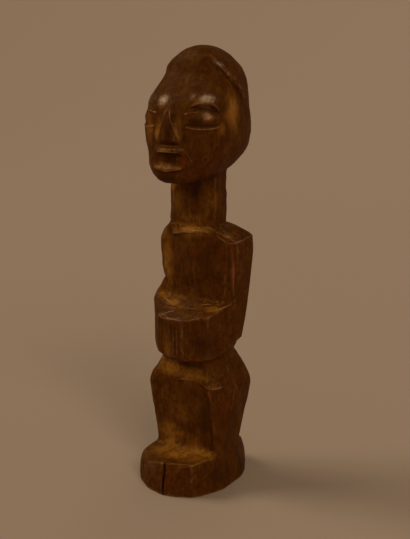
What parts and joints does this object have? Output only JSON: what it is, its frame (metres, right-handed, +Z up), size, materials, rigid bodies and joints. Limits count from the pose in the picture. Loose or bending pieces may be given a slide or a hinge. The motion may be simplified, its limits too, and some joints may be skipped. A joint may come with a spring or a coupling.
{
  "type": "carved wooden figure",
  "caption": "Small standing figure carved from one block of dark hardwood, hands to the belly, large head with a cap of hair, on a rounded base.",
  "frame": {"origin": "on the sole, at the middle of the footprint of the figure's bounding box", "axes": "+Z up; the figure faces -Y; its own left side is +X"},
  "size_m": [0.0334, 0.0418, 0.15],
  "materials": {
    "wood": "hand-cut hardwood with a dark, worn and partly glossy patina"
  },
  "bodies": {
    "root": {"figure": "wood"}
  },
  "joints": []
}
